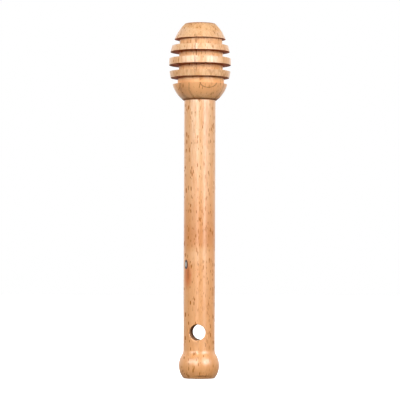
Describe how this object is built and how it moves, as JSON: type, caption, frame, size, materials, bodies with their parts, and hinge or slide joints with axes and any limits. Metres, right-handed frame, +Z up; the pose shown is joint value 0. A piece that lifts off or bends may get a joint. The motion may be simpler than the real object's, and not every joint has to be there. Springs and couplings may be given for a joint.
{
  "type": "honey dipper",
  "caption": "Turned wooden honey dipper: a grooved head on a round handle, with a hanging hole above a ball knob that has a flat foot.",
  "frame": {"origin": "centre of the flat foot under the handle's knob", "axes": "+Z up the handle to the head; the hanging hole runs along Y"},
  "size_m": [0.0276, 0.0276, 0.1582],
  "materials": {
    "head_wood": "turned beech under a clear satin lacquer",
    "handle_wood": "turned beech under a clear satin lacquer",
    "glue": "dried wood glue"
  },
  "bodies": {
    "root": {"head": "head_wood", "handle": "handle_wood", "glue_film": "glue"}
  },
  "joints": []
}
